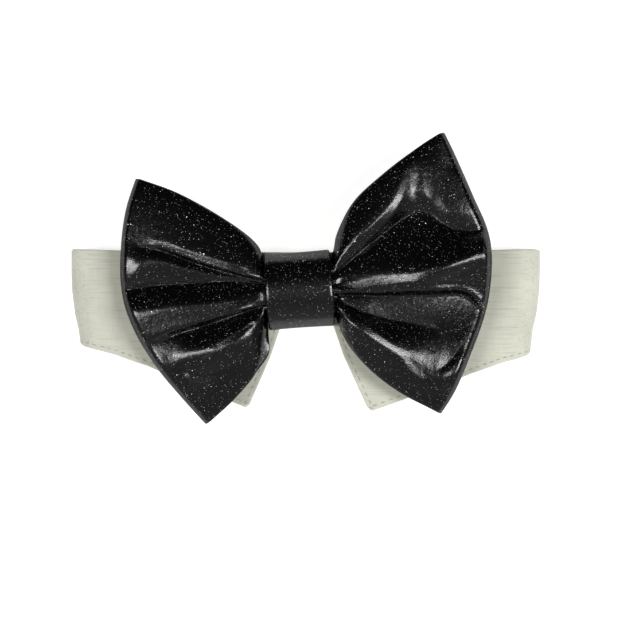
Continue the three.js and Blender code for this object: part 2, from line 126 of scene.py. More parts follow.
def softened(normal, rounds):
    """Normals turned towards their neighbours', so that a sharp fold stays sharp on both skins."""
    for _ in range(rounds):
        padded = np.pad(normal, ((1, 1), (1, 1), (0, 0)), mode="edge")
        normal = padded[:-2, 1:-1] + padded[2:, 1:-1] + padded[1:-1, :-2] + padded[1:-1, 2:]
        normal /= np.linalg.norm(normal, axis=-1, keepdims=True)
    return normal


def wall_mesh(name, points, thickness, closed=False, soften=0):
    """A closed wall on both sides of a grid of points, in millimetres, with its rim rounded."""
    normal = softened(normals_of(points, closed), soften)
    reach = thickness / 2
    inset = np.clip(1 - edge_distance(points, closed) / reach, 0, 1)
    half = (reach * np.sqrt(1 - inset**2))[..., None]
    skins = np.stack([points + normal * half, points - normal * half])
    rows, columns = points.shape[:2]
    index = np.arange(2 * rows * columns).reshape(2, rows, columns)
    # both skins share the points of the rim
    index[1][:, 0] = index[0][:, 0]
    index[1][:, -1] = index[0][:, -1]
    if closed:
        index = np.concatenate([index, index[:, :1]], 1)
    else:
        index[1][0] = index[0][0]
        index[1][-1] = index[0][-1]
    front, back = index
    quads = [
        np.stack([front[:-1, :-1], front[1:, :-1], front[1:, 1:], front[:-1, 1:]], -1),
        np.stack([back[:-1, :-1], back[:-1, 1:], back[1:, 1:], back[1:, :-1]], -1),
    ]
    faces = np.concatenate([q.reshape(-1, 4) for q in quads])
    used, faces = np.unique(faces, return_inverse=True)
    corners = skins.reshape(-1, 3)[used]
    return mesh_object(name, corners, faces.reshape(-1, 4))


def mesh_object(name, corners, faces):
    """A smooth-shaded object from millimetre points round the knot's middle."""
    corners = (np.asarray(corners, float) - MIDDLE_OF_BOX) * MM
    mesh = bpy.data.meshes.new(name)
    mesh.from_pydata(corners.tolist(), [], np.asarray(faces).tolist())
    if sum(face.area * face.normal.dot(face.center) for face in mesh.polygons) < 0:
        mesh.flip_normals()
    mesh.polygons.foreach_set("use_smooth", [True] * len(mesh.polygons))
    mesh.update()
    piece = bpy.data.objects.new(name, mesh)
    bpy.context.scene.collection.objects.link(piece)
    return piece


# distances of a grid's first rows from an edge, closest together where the rim is rounded
EDGE_ROWS = [0, 0.08, 0.25, 0.5, 0.8, 1.2, 1.6, 2.0, 2.4, 2.8, 3.2]


def from_edge(length, step):
    """Distances from an edge up to a length: the first rows, and then rows a step apart."""
    last = EDGE_ROWS[-1]
    return np.append(EDGE_ROWS, np.linspace(last, length, round((length - last) / step) + 1)[1:])


def fine_steps(count, rim=0.012):
    """Shares from 0 to 1 with closer steps at both ends, for a rounded rim."""
    ends = np.array([0, 0.12, 0.4, 1.0]) * rim
    return np.concatenate([ends[:-1], np.linspace(rim, 1 - rim, count), 1 - ends[:-1][::-1]])


# ------------------------------------------------------------------ knot
KNOT = {
    "half_length": 10.6,
    "half_width": 12.5,
    "height": 16.5,
    "shoulder": 0.38,  # the sleeve is widest at this share of its height
    "tilt": math.radians(4),
    "bow": 0.35,  # its free edges stand out this much further in front, and less behind
    "pinch": 0.21,  # and each of its sides is drawn in this much half way between them
}
OVAL = {"above": 2.2, "below": 6.0}  # powers of the sleeve's section above and below its shoulder
KNOT_GRID = {"round": 180, "along": 44, "rim": 0.05}
SHOULDER = KNOT_BOTTOM + KNOT["height"] * KNOT["shoulder"]


def tilted(points):
    """Points turned about Z with the knot."""
    c, s = math.cos(KNOT["tilt"]), math.sin(KNOT["tilt"])
    turned = np.array(points, float)
    turned[..., 0] = points[..., 0] * c - points[..., 1] * s
    turned[..., 1] = points[..., 0] * s + points[..., 1] * c
    return turned


def arch_height(y, depth):
    """Height of the knot's arch at y, depth inside its outer face."""
    share = np.clip(np.abs(y) / (KNOT["half_width"] - depth), 0, 1)
    rise = KNOT["height"] * (1 - KNOT["shoulder"]) - depth
    return SHOULDER + rise * (1 - share ** OVAL["above"]) ** (1 / OVAL["above"])


def knot_points():
    """The middle of the knot's wall, round and along the sleeve."""
    angle = np.linspace(0, 2 * math.pi, KNOT_GRID["round"], endpoint=False)[:, None]
    v = fine_steps(KNOT_GRID["along"], KNOT_GRID["rim"])[None, :]
    y, z = np.sin(angle), np.cos(angle)
    power = np.where(z > 0, OVAL["above"], OVAL["below"])
    reach = (np.abs(y) ** power + np.abs(z) ** power) ** (-1 / power)
    rise = KNOT["height"] * (1 - KNOT["shoulder"]) - VINYL / 2
    drop = KNOT["height"] * KNOT["shoulder"] - VINYL / 2
    y_out = y * reach * (KNOT["half_width"] - VINYL / 2) + 0 * v
    z_out = SHOULDER + z * reach * np.where(z > 0, rise, drop) + 0 * v
    side = mix(-1, 1, v) + 0 * angle
    x_out = side * (KNOT["half_length"] + KNOT["bow"] * z)
    y_out = y_out - KNOT["pinch"] * (1 - side**2) * y
    return tilted(np.stack([x_out, y_out, z_out], -1))


# ------------------------------------------------------------------ bow wings
WAIST_DEPTH = VINYL + GAP + VINYL / 2  # from the knot's outer face to the middle of the gathered vinyl
WAIST = {
    "x": KNOT["half_length"] + 1.0,  # the panels open out just outside the knot
    "front_half_width": KNOT["half_width"] - WAIST_DEPTH - 0.6,  # inside it they are gathered to this
    "rear_half_width": KNOT["half_width"] - WAIST_DEPTH - 1.4,
    "sink": 0.5,  # room between the front panel and the knot's arch
}
CROWN = {
    "tips": 0.7,  # bulge of the front panel at its two tips
    "middle": 1.4,  # and half way between them
    "fall": 1.5,  # power of its fall towards the outer fold
    "run": 44.0,  # length that it falls over
    "rise": 0.35,  # share of the panel over which it rises from the knot
}
OUTER_FOLD = {
    "tip_radius": 2.6,
    "middle_radius": 4.6,
    "fullness": 0.45,  # power of its growth from the tips: the smaller, the fuller
    "reach": 0.55,  # how far it reaches outwards, as a share of its radius
    "look_ahead": 0.04,  # its direction is taken between points this share to each side
}
REAR = {
    "level": KNOT_BOTTOM + WAIST_DEPTH + 0.3,  # just clear of the knot's underside
    "lift": 1.0,  # how much higher the rear panel is at the outer fold
    "hem_drop": 0.9,  # how far its hem hangs, so that it shows beside the knot
    "hem_share": 0.16,  # share of its width that hangs with it
}
WING_GRID = {"across": 170, "front": 130, "turn": 28, "rear": 50, "inside": 10, "soft_normals": 24}
LINE = {"reach": 0.45, "samples": 240, "rounds": 1200}  # a fold line holds the panel within its reach
SOFTENING = {
    "rounds": 36,
    "beside_lip": 0.06,  # share of the softening that a lip gets
    "lip_from": 0.2,  # distances from a lip between which that share grows to the whole
    "lip_to": 2.6,
}
FACET = {
    "core": 0.4,  # share of its half width over which a facet's slope holds fully
    "rim": 1.3,  # and the share where it ends
    "hold": 0.006,  # how strongly the panel keeps its own height, against 1 for each neighbour
    "samples": 120,
    "rounds": 900,
}

# Each wing's edges are (x, y) from the knot outwards, and its outer fold runs from the lower tip to the
# upper one. The cut is the size of its flat strip, in metres and square metres. Fold lines run through
# (x, y, rise), with their rise above or below the panel: round ones are crests that swell over, sharp ones
# are lips and the pockets and valleys under them. A facet is a strip of vinyl that lies at a slope of its
# own, (rise along x, rise along y), along (x, y, half width).
WINGS = {
    "left": {
        "sign": -1,
        "cut": (0.084, 0.130),
        "cut_area": 0.0072,
        "top": [(-13.2, 12.8), (-15.6, 16.0), (-25.4, 23.2), (-40.0, 31.3)],
        "bottom": [(-12.2, -18.0), (-14.4, -26.6), (-21.3, -35.3)],
        "rear_bottom": [(-10.4, -15.5), (-10.0, -20.5), (-13.1, -25.6), (-21.3, -35.3)],
        "outer": [
            (-30.4, -43.8), (-38.4, -34.9), (-46.6, -24.9), (-53.7, -13.0),
            (-57.6, -1.4), (-58.0, 13.1), (-56.5, 25.5), (-53.3, 36.2),
        ],
        "round": {
            "middle crest": [(-18, 3.2, -2.6), (-24, 4.2, -2), (-30, 5.4, -1), (-36, 7, 0),
                             (-42, 8.8, 0.7), (-47, 10, 1.1), (-50.4, 9.6, 1.3), (-51.8, 6.4, 1.2),
                             (-52.4, 3.4, 0.4)],
            "lower crest": [(-13, -1.8, -0.6), (-16, -2.1, -1.1), (-20, -2.6, -1), (-30, -4, 0),
                            (-40, -4.6, 0.7), (-46, -5.4, 1), (-50, -6.6, 1), (-54, -7.6, 0.9)],
            "hem ridge": [(-11.6, -8.7, 0), (-15, -11.8, 0.9), (-20, -15.6, 1.9), (-24, -18, 2.2),
                          (-28, -19.8, 2), (-32, -21, 1.5), (-35.6, -21.8, 0.9), (-39, -22.4, 0.4)],
        },
        "sharp": {
            "upper lip": [(-11.2, 3.9, 0), (-20, 5.9, 0.1), (-30, 8.5, 0.2), (-38, 11.3, 0.2),
                          (-43.6, 13.4, 0.1), (-48, 14.3, 0), (-53, 14.5, 0)],
            "upper pocket": [(-11.8, 2.9, -1.3), (-20, 4.9, -2.4), (-30, 7.5, -3.2), (-38, 10.3, -2.8),
                             (-43.6, 12.4, -1.8), (-48, 13.3, -0.8), (-51, 13.6, -0.3)],
            "middle valley": [(-11.6, 1.6, -2.4), (-16, 2.2, -2.8), (-24, 2.8, -3), (-30, 2.4, -3.2),
                              (-40, 1.8, -3.2), (-48, 1.2, -2.9), (-54, 0.2, -2.4), (-58, -0.6, -1.8)],
            "bulge foot": [(-56.2, 9, 1.6), (-56.6, 5, 1.1), (-56.4, 2.4, 0.1)],
            "lower lip": [(-11.2, -4, 0), (-15, -5.1, -0.6), (-20, -6.6, -0.4), (-30, -9.6, 0.3),
                          (-36, -11.5, 0.6), (-42, -13.3, 0.6), (-47, -15.6, 0.4), (-50, -17.2, 0)],
            "lower pocket": [(-11.6, -5.1, -1.2), (-20, -7.7, -2.6), (-28, -10.5, -3.6), (-33, -12, -3.4),
                             (-37, -13.2, -2.2), (-42, -14.8, -1.2), (-47.6, -17, -0.6)],
            "hem hollow": [(-19, -23.4, 0.2), (-25, -26.4, -0.4), (-31, -27.6, -0.8), (-36.4, -26.6, -0.8)],
        },
        "facets": {
            "upper lip": ((-0.05, 0.2), [(-46, 15.2, 0.8), (-38, 12.6, 0.9), (-28, 9.4, 0.9),
                                         (-18, 6.6, 0.8)]),
            "bulge": ((0.17, 0.04), [(-54.2, 9.4, 1), (-54.6, 6.6, 1.5), (-55, 3.8, 1)]),
            "bulge slope": ((-0.03, 0.1), [(-48, 5.6, 1.8), (-40, 4.8, 1.6), (-32, 4, 1)]),
            "lower panel": ((-0.03, 0.1), [(-53.4, -8.4, 2), (-50, -10, 2.4), (-42, -8.6, 2.6),
                                           (-32, -6.8, 2), (-22, -4.6, 1)]),
            "ridge": ((0.16, 0.06), [(-15, -10.6, 0.5), (-20, -14.2, 0.8), (-26, -18, 1.1)]),
            "ridge end": ((0.12, 0.08), [(-29, -20.9, 1.6), (-32.4, -23, 2.3)]),
            "dent": ((-0.05, -0.1), [(-41, -18, 1.8), (-43, -22, 2.4)]),
        },
    },
    "right": {
        "sign": 1,
        "cut": (0.096, 0.134),
        "cut_area": 0.0085,
        "top": [(11.8, 13.6), (12.6, 17.8), (17.8, 28.1), (27.4, 37.3), (39.8, 46.8)],
        "bottom": [(16.0, -17.1), (23.5, -26.0), (32.8, -33.1)],
        "outer": [
            (46.0, -40.4), (50.3, -33.5), (56.3, -19.3), (60.8, -6.2),
            (62.4, 7.4), (61.4, 18.6), (56.4, 30.6), (50.2, 44.7), (47.1, 51.2),
        ],
        "round": {
            "upper ridge": [(11.7, 7, 0.6), (15, 11, 2), (20, 15.8, 2.7), (25, 20.5, 2.9), (29, 25, 2.9),
                            (31.6, 30, 2.9), (33.4, 35.4, 2.8), (35.6, 39.8, 2.4)],
            "tent side": [(33.8, 28.4, 1.1), (35.4, 31.6, 0.8), (36.6, 35.2, 0.6), (37.8, 38.4, 0.6)],
            "tent": [(41.6, 37.6, 0.6), (42.8, 32.6, 0.6), (43.4, 28.4, 0.3)],
            "tip roll": [(44.6, 46.6, 0.6), (46.8, 42.2, 0.9), (48.6, 37.6, 0.7)],
            "shelf": [(47, 26, 0.3), (51, 24.6, 0.3), (56, 24, 0.3)],
            "middle crest": [(12.4, 2, -0.9), (16, 2.4, -1.2), (20, 2.8, -0.9), (26, 3.4, 0.3),
                             (33, 4, 2.1), (40, 4.8, 4), (46, 5.8, 5.3), (51, 7.2, 5.7), (55.4, 9.8, 5),
                             (58.4, 13.6, 4.1)],
            "between hooks": [(42, 1.9, 1.4), (47, 2.6, 0.8), (51, 3.2, 0.4), (56, 3.4, 0)],
            "spur": [(37.6, -20.6, 0.7), (41.2, -21.2, 0.1)],
            "lower crest": [(12.5, -5.7, 0.8), (15, -8.2, 3), (20, -11.9, 3.2), (25, -15.7, 2.5),
                            (30, -19, 1.7), (33.4, -21.6, 1.2), (35.6, -24.8, 1), (38.8, -27.8, 1),
                            (42, -29, 1), (45, -29.2, 1.2), (49.4, -26.8, 1.8), (52.2, -22.6, 2.1),
                            (54.2, -18.4, 1.7), (56.2, -14, 0.8), (57.8, -9.4, -0.2)],
        },
        "sharp": {
            "upper valley": [(11.9, 5.6, -1.8), (20, 12.8, -3.8), (25, 16.8, -3.4), (30, 20.8, -2.8),
                             (35, 24, -2.2), (38.6, 25.8, -1.8), (42.4, 24.8, -1.8), (45.6, 21.8, -1.8),
                             (50, 19.4, -1.7), (56, 18.6, -1.2), (60, 18.8, -0.6)],
            "middle edge": [(12.4, -0.3, 0), (25, -0.4, -1.1), (33, -0.2, 0.5), (38, 0, 1.9),
                            (42, 0.3, 1.8), (47, 0.7, 1.2), (51, 0.7, 0.6), (54, 0, 0.2),
                            (56.6, -1.6, -0.2), (58.4, -3.8, -0.7), (59.4, -6, -1.6)],
            "edge foot": [(12.4, -1.6, -2.4), (18, -1.6, -3.4), (25, -1.6, -3.6), (38, -1.3, -3),
                          (46, -1, -3.2), (52, -1.1, -3.4), (55, -2.5, -3.2), (56.8, -5, -3),
                          (57.6, -8, -2.4)],
            "lower valley": [(12.6, -3.5, -2.4), (20, -7, -3), (28, -9.4, -3.1), (36, -10.8, -2.9),
                             (42, -12.2, -2.3), (46, -13.2, -1.6)],
            "sweep foot": [(45.6, -25.4, 0.3), (48, -24, -0.2), (50.4, -20.6, -0.3), (52, -16.8, -0.4)],
            "tip hollow": [(28, -26.4, 0.2), (35, -31.4, 0.0), (42, -34.4, 0.0), (47.5, -33.4, 0.0),
                           (51.8, -28.4, 0.2)],
        },
        "facets": {
            "upper ridge": ((-0.2, 0.08), [(12, 6.9, 0.9), (20, 15.2, 1.1), (29, 24.6, 1),
                                           (31.8, 29.6, 0.8), (33.6, 35, 0.7), (35.4, 39, 0.6)]),
            "under tent": ((0.05, 0.26), [(38.4, 31, 1.4), (39, 28.4, 1.6)]),
            "tent glow": ((-0.13, 0.1), [(40.2, 37.4, 1.1), (41.2, 34, 1.5), (42.6, 30, 1.7)]),
            "tip": ((-0.2, 0.14), [(46.2, 46.6, 1.4), (47.4, 43.4, 1.7), (48.8, 40.4, 1.2)]),
            "outer dark": ((0.05, -0.06), [(46.6, 35.6, 1.6), (48.4, 30, 2), (50, 26, 1.6)]),
            "outer grey": ((0.05, 0.12), [(50, 22, 1.6), (56, 21.6, 2.2)]),
            "band": ((0.3, 0.04), [(14, 1.2, 1), (20, 1.8, 1.3), (28, 2.6, 1.3), (34, 3.3, 1.2),
                                   (40, 4.2, 1.1)]),
            "triangle": ((0.05, 0.2), [(50, 4.6, 0.8), (54, 5.2, 1.3), (57, 5.8, 2)]),
            "lower hook": ((-0.2, 0), [(42, 1.1, 1), (47, 1.5, 1.2), (51, 1.5, 1.3), (54, 0.9, 1.3),
                                       (56.8, -0.5, 1.1), (58.6, -2.6, 1)]),
            "lower ridge": ((-0.21, -0.01), [(13.4, -6.8, 1.1), (20, -11.6, 1.2), (28, -17.2, 1),
                                             (33, -20.8, 0.9)]),
            "ridge end": ((-0.13, 0), [(34.8, -23.2, 1.2), (37.2, -26, 1.5), (40.2, -27.8, 1.1)]),
            "lower bowl": ((0.05, -0.12), [(43, -18, 1.8), (47, -17, 2.2)]),
            "lower tip": ((-0.22, -0.03), [(47.2, -34.6, 1.4), (46.2, -37.6, 1.2)]),
        },
    },
}


def plan_of(top_rows, bottom_rows, outer):
    """The plan of one panel: a patch between its edges, the waist and the outer fold."""
    top, bottom = curve_through(top_rows), curve_through(bottom_rows)

    def at(u, v):
        u, v = u[:, None, None], v[None, :, None]
        inner = mix(bottom(0.0), top(0.0), v)
        along = mix(bottom(u[..., 0]), top(u[..., 0]), v)
        across = mix(inner, outer(v[0, :, 0])[None], u)
        corners = mix(inner, mix(bottom(1.0), top(1.0), v), u)
        return along + across - corners

    return at


def relaxed(height):
    """Each point of a field moved to the mean of its neighbours."""
    padded = np.pad(height, 1, mode="edge")
    return (padded[:-2, 1:-1] + padded[2:, 1:-1] + padded[1:-1, :-2] + padded[1:-1, 2:]) / 4


def fold_field(wing, plan):
    """Rise of the folds over a panel: set on the fold lines and stretched smoothly between them.

    Softening then rounds the crests over and leaves the lips sharp."""
    shape = plan.shape[:2]
    height = np.zeros(shape)
    distance = {kind: np.full(shape, np.inf) for kind in ("round", "sharp")}
    for kind, nearest in distance.items():
        for rows in wing[kind].values():
            for x, y, rise in curve_through(rows)(np.linspace(0, 1, LINE["samples"])):
                here = np.hypot(plan[..., 0] - x, plan[..., 1] - y)
                closer = here < nearest
                nearest[closer] = here[closer]
                height[closer & (here < LINE["reach"])] = rise
    fixed = np.minimum(distance["round"], distance["sharp"]) < LINE["reach"]
    # nothing rises under the knot
    height[0] = np.minimum(height[0], 0)
    fixed[0] = True
    target = height.copy()
    for _ in range(LINE["rounds"]):
        height = relaxed(height)
        height[fixed] = target[fixed]
    beside_lip = smoothstep(distance["sharp"], SOFTENING["lip_from"], SOFTENING["lip_to"])
    give = mix(SOFTENING["beside_lip"], 1.0, beside_lip)
    for _ in range(SOFTENING["rounds"]):
        height = mix(height, relaxed(height), give)
    return height


def facet_cover(plan, rows):
    """How far a facet's own slope holds at each point of a panel, from 0 to 1."""
    cover = np.zeros(plan.shape[:2])
    for x, y, half_width in curve_through(rows)(np.linspace(0, 1, FACET["samples"])):
        near = np.hypot(plan[..., 0] - x, plan[..., 1] - y)
        edge = smoothstep(near, FACET["core"] * half_width, FACET["rim"] * half_width)
        cover = np.maximum(cover, 1 - edge)
    return cover


def between(field, axis):
    """A field's values half way between neighbours along an axis."""
    count = field.shape[axis]
    return (field.take(range(count - 1), axis) + field.take(range(1, count), axis)) / 2


def faceted(height, plan, facets):
    """The panel with its facets laid in: the heights whose steps come nearest to the ones asked for."""
    steps = [np.diff(height, axis=axis) for axis in (0, 1)]
    for slope, rows in facets.values():
        cover = facet_cover(plan, rows)
        for axis, step in enumerate(steps):
            own = np.diff(plan, axis=axis)[..., :2] @ slope
            step += (own - step) * between(cover, axis)
    down, across = steps
    laid = height.copy()
    voices = np.full(height.shape, FACET["hold"])
    for neighbours in (voices[1:], voices[:-1], voices[:, 1:], voices[:, :-1]):
        neighbours += 1
    for _ in range(FACET["rounds"]):
        asked = FACET["hold"] * height
        asked[1:] += laid[:-1] + down
        asked[:-1] += laid[1:] - down
        asked[:, 1:] += laid[:, :-1] + across
        asked[:, :-1] += laid[:, 1:] - across
        laid = asked / voices
        laid[0] = height[0]
    return laid


def waist(wing, share, half_width, v):
    """The gathered strip inside the knot, in plan, from its middle (share 0) to its mouth (share 1)."""
    points = np.zeros((len(share), len(v), 3))
    points[..., 0] = wing["sign"] * mix(GAP, WAIST["x"], share)[:, None]
    points[..., 1] = mix(-1, 1, v)[None] * half_width
    return tilted(points)


def panel_plan(wing, bottom, half_width, far_edge, u, v):
    """The plan of a wing's panel from the knot's mouth to its far edge."""
    mouth = waist(wing, np.array([1.0]), half_width, v)[0]

    def far_at(share):
        return np.stack([np.interp(share, v, column) for column in far_edge.T], -1)

    top_rows = [mouth[-1, :2], *wing["top"], far_edge[-1]]
    bottom_rows = [mouth[0, :2], *bottom, far_edge[0]]
    return plan_of(top_rows, bottom_rows, far_at)(u, v)


def with_height(plan, height):
    """A plan's points in space."""
    return np.concatenate([plan, height[..., None]], -1)


def wing_points(wing):
    """The middle of a wing's wall: under the knot, front panel, outer fold, rear panel, under the knot."""
    v = fine_steps(WING_GRID["across"])
    outer = curve_through(wing["outer"])
    ahead = outer(np.minimum(v + OUTER_FOLD["look_ahead"], 1))
    ahead -= outer(np.maximum(v - OUTER_FOLD["look_ahead"], 0))
    outward = np.stack([ahead[:, 1], -ahead[:, 0]], -1) * wing["sign"]
    outward /= np.linalg.norm(outward, axis=-1, keepdims=True)
    fullness = np.sin(math.pi * v) ** OUTER_FOLD["fullness"]
    radius = mix(OUTER_FOLD["tip_radius"], OUTER_FOLD["middle_radius"], fullness)
    reach = radius * OUTER_FOLD["reach"]
    crease = outer(v) - outward * (reach + VINYL / 2)[:, None]
    rear_edge = REAR["level"] + REAR["lift"]

    # the front panel reaches the outer fold already sloping down, so the fold turns on from that slope
    crown = mix(CROWN["tips"], CROWN["middle"], np.sin(math.pi * v))
    lean = np.arctan(CROWN["fall"] * crown / CROWN["run"] * OUTER_FOLD["reach"])
    top_of_turn = rear_edge + radius * (1 + np.cos(lean))
    mouth_y = mix(-1, 1, v) * WAIST["front_half_width"]
    mouth_height = arch_height(mouth_y, WAIST_DEPTH + WAIST["sink"]) - WAIST["sink"]

    u = np.linspace(0, 1, WING_GRID["front"])
    front_edge = crease + outward * (reach * np.sin(lean))[:, None]
    front_plan = panel_plan(wing, wing["bottom"], WAIST["front_half_width"], front_edge, u, v)
    folds = fold_field(wing, front_plan)
    s = u[:, None]
    crowned = top_of_turn + crown * (1 - s ** CROWN["fall"])
    height = mix(mouth_height, crowned, smoothstep(s, 0, CROWN["rise"])) + folds
    height = faceted(height, front_plan, wing["facets"])
    front = with_height(front_plan, height)

    inside = np.linspace(0, 1, WING_GRID["inside"])
    front_in = waist(wing, inside[:-1], WAIST["front_half_width"], v)
    front_in[..., 2] = mouth_height + folds[0] * smoothstep(inside[:-1], 0, 1)[:, None]

    share = np.linspace(0, 1, WING_GRID["turn"])[1:-1, None]
    angle = mix(lean[None], math.pi, share)
    turn_plan = crease[None] + outward[None] * (reach * np.sin(angle))[..., None]
    rise = height[-1] - top_of_turn
    turn_height = rear_edge + radius * (1 + np.cos(angle)) + rise * (1 - smoothstep(share, 0, 1))
    turn = with_height(turn_plan, turn_height)

    back = np.linspace(1, 0, WING_GRID["rear"])
    rear_bottom = wing.get("rear_bottom", wing["bottom"])
    rear_plan = panel_plan(wing, rear_bottom, WAIST["rear_half_width"], crease, back, v)
    hang = REAR["hem_drop"] * (1 - smoothstep(v, 0, REAR["hem_share"]))
    rear = with_height(rear_plan, (REAR["level"] + REAR["lift"] * back**2)[:, None] - hang)

    rear_in = waist(wing, inside[::-1][1:], WAIST["rear_half_width"], v)
    rear_in[..., 2] = REAR["level"]
    return np.concatenate([front_in, front, turn, rear, rear_in])


# ------------------------------------------------------------------ collar
TURN = (LEAF_FRONT - LEAF_BACK) / 2
TURN_LENGTH = math.pi * TURN
BAND = {"top": 11.4, "hem": -10.6}
BAND_GRID = {"across": 24, "rim": 0.03, "straight": 40, "turn": 24}

# A leaf is a strip that lies in front of the loop, goes round its end and comes back behind it. Places on it
# are a distance along it from the knot's middle, and y. The loop ends at "end" from the knot's middle, the
# leaf's front edge is rows of (y, along), and its hem and its top are rows of (along, y). A cut is a flat
# size, as above.
SIDES = {
    "left": {
        "sign": -1,
        "cut": (0.052, 0.117),
        "cut_area": 0.0040,
        "end": 75.4,
        "front_edge": [(-38.9, 17.0), (-22.0, 9.6), (12.4, -2.2)],
        "hem": [(17, -38.9), (36, -31.0), (50, -24.9), (62, -21.2), (72, -19.0), (80, -17.2), (98, -12.8),
                (122, -10.6)],
    },
    "right": {
        "sign": 1,
        "cut": (0.053, 0.120),
        "cut_area": 0.0042,
        "end": 79.4,
        "front_edge": [(-40.1, 23.0), (-21.5, 14.4), (12.4, 2.8)],
        "hem": [(23, -40.1), (40, -33.8), (57, -27.3), (68, -24.0), (76, -22.2), (84, -20.2), (100, -14),
                (126, -10.6)],
    },
}
LEAF_TOP = [(0, 12.4), (60, 13.1), (76, 13.6), (100, 12.6), (126, 11.4)]
LEAF_BACK_END = 42.0  # where a leaf ends behind the loop, from the knot's middle
LEAF_STEP = {"along": 0.5, "across": 1.2}
CORNER = 1.8  # radius of the corners of leaves and pad
LEAN = [(-22, 3.4), (-13, 2.4), (-8, 1.2), (0, 0.2), (6, 0)]  # (y, how much nearer the loop's end is)
LEAN_REACH = 26.0  # length that the lean is spread over
DROOP = 2.4  # how far a leaf's point hangs
STITCH = {
    "inset": 1.5,  # from the leaf's edge
    "pitch": 2.8,
    "length": 2.0,
    "thread": 0.4,
    "proud": 0.2,  # how far its middle stands out of its dip, as a share of the thread
    "sink": 0.45,  # and how far its ends sink
    "dip": 0.16,  # how deep the cloth dips under it
    "dip_width": 0.9,
}
SEAM_STEPS = {"front": 90, "hem": 260}
PATCH = {
    "end_inset": 4,  # from the ends of the leaves
    "edge_inset": 1,  # from the edges of the neck band
    "step": 1.0,
    "wave": 0.12,  # how uneven its face is
    "wave_x": 7,  # length of one radian of that wave, along
    "wave_y": 4,  # and across
    "wave_start": 1,  # where it is at y = 0, in radians
}


def run_of(side):
    """Length of the straight part of the loop, from the knot's middle to its end's turn."""
    return side["end"] - CLOTH / 2 - TURN


def back_end_of(side):
    """Where the leaf ends behind the loop, along its strip."""
    return 2 * run_of(side) + TURN_LENGTH - LEAF_BACK_END


def on_loop(side, along, y, radius):
    """The place in space of points on the strip that is rolled round the flattened loop."""
    run = run_of(side)
    middle = (LEAF_FRONT + LEAF_BACK) / 2
    angle = np.clip((along - run) / TURN, 0, math.pi)
    straight = np.minimum(along, run) - np.maximum(along - run - TURN_LENGTH, 0)
    x = straight + radius * np.sin(angle)
    z = middle + radius * np.cos(angle)
    lean = value_at(LEAN, y) * smoothstep(x, side["end"] - LEAN_REACH, side["end"])
    return np.stack([side["sign"] * (x - lean), y, z], -1)


def leaf_at(side, along, y, lift=0.0):
    """The place in space of points on a leaf's strip, lift above its middle. The leaf's point hangs."""
    run = run_of(side)
    points = on_loop(side, along, y, TURN + lift)
    hang = smoothstep(-y, -BAND["hem"], -side["hem"][0][1]) * smoothstep(run - along, 0, run / 2)
    points[..., 2] -= DROOP * hang
    return points


def rounded_corner(from_front, from_hem):
    """Distances from two edges, drawn in where they meet so that the corner between them is round."""
    p = np.clip(1 - from_front / CORNER, 0, 1)
    q = np.clip(1 - from_hem / CORNER, 0, 1)
    drawn_front = from_front + CORNER * p * (1 - np.sqrt(1 - q**2 / 2))
    drawn_hem = from_hem + CORNER * q * (1 - np.sqrt(1 - p**2 / 2))
    return drawn_front, drawn_hem


def seam_of(side):
    """The middle of each stitch on a leaf's strip, (along, y), and its direction."""
    down = np.linspace(LEAF_TOP[0][1], side["hem"][0][1], SEAM_STEPS["front"])
    front_edge = np.stack([value_at(side["front_edge"], down), down], -1)
    along = np.linspace(front_edge[-1, 0], back_end_of(side), SEAM_STEPS["hem"])[1:]
    hem = np.stack([along, value_at(side["hem"], along)], -1)
    edge = np.concatenate([front_edge, hem])
    ahead = np.gradient(edge, axis=0)
    ahead /= np.linalg.norm(ahead, axis=-1, keepdims=True)
    line = edge + STITCH["inset"] * np.stack([-ahead[:, 1], ahead[:, 0]], -1)
    length = np.concatenate([[0], np.cumsum(np.linalg.norm(np.diff(line, axis=0), axis=1))])
    places = np.arange(STITCH["pitch"], length[-1] - STITCH["pitch"], STITCH["pitch"])
    middles = np.stack([np.interp(places, length, column) for column in line.T], -1)
    directions = np.stack([np.interp(places, length, column) for column in ahead.T], -1)
    return middles, directions


def leaf_points(side):
    """The middle of a leaf's wall, along its strip and from its hem to its top."""
    run = run_of(side)
    turn_end = run + TURN_LENGTH
    foot_y = side["hem"][0][1]
    half = from_edge((LEAF_TOP[0][1] - foot_y) / 2, LEAF_STEP["across"])
    v = np.concatenate([half, 2 * half[-1] - half[-2::-1]])[None, :] / (2 * half[-1])
    edge_y = mix(foot_y, LEAF_TOP[0][1], v)
    front_edge = value_at(side["front_edge"], edge_y)
    share = from_edge(run, LEAF_STEP["along"])[:, None] / run
    front = mix(front_edge, run, share)
    turn = np.arange(run + LEAF_STEP["along"], turn_end, LEAF_STEP["along"])[:, None] + 0 * v
    back_length = back_end_of(side) - turn_end
    back = back_end_of(side) - from_edge(back_length, LEAF_STEP["along"])[::-1, None] + 0 * v
    along = np.concatenate([front, turn, back])
    hem = value_at(side["hem"], along)
    y = mix(hem, value_at(LEAF_TOP, along), v)
    y[0] = edge_y
    hem = np.minimum(hem, y[:, :1])
    from_front, from_hem = rounded_corner(along - front_edge, y - hem)
    along, y = front_edge + from_front, hem + from_hem
    # the cloth dips where each stitch holds it down
    dip = np.zeros(y.shape)
    for middle in seam_of(side)[0]:
        dip += np.exp(-((along - middle[0]) ** 2 + (y - middle[1]) ** 2) / STITCH["dip_width"] ** 2)
    return leaf_at(side, along, y, -STITCH["dip"] * dip)


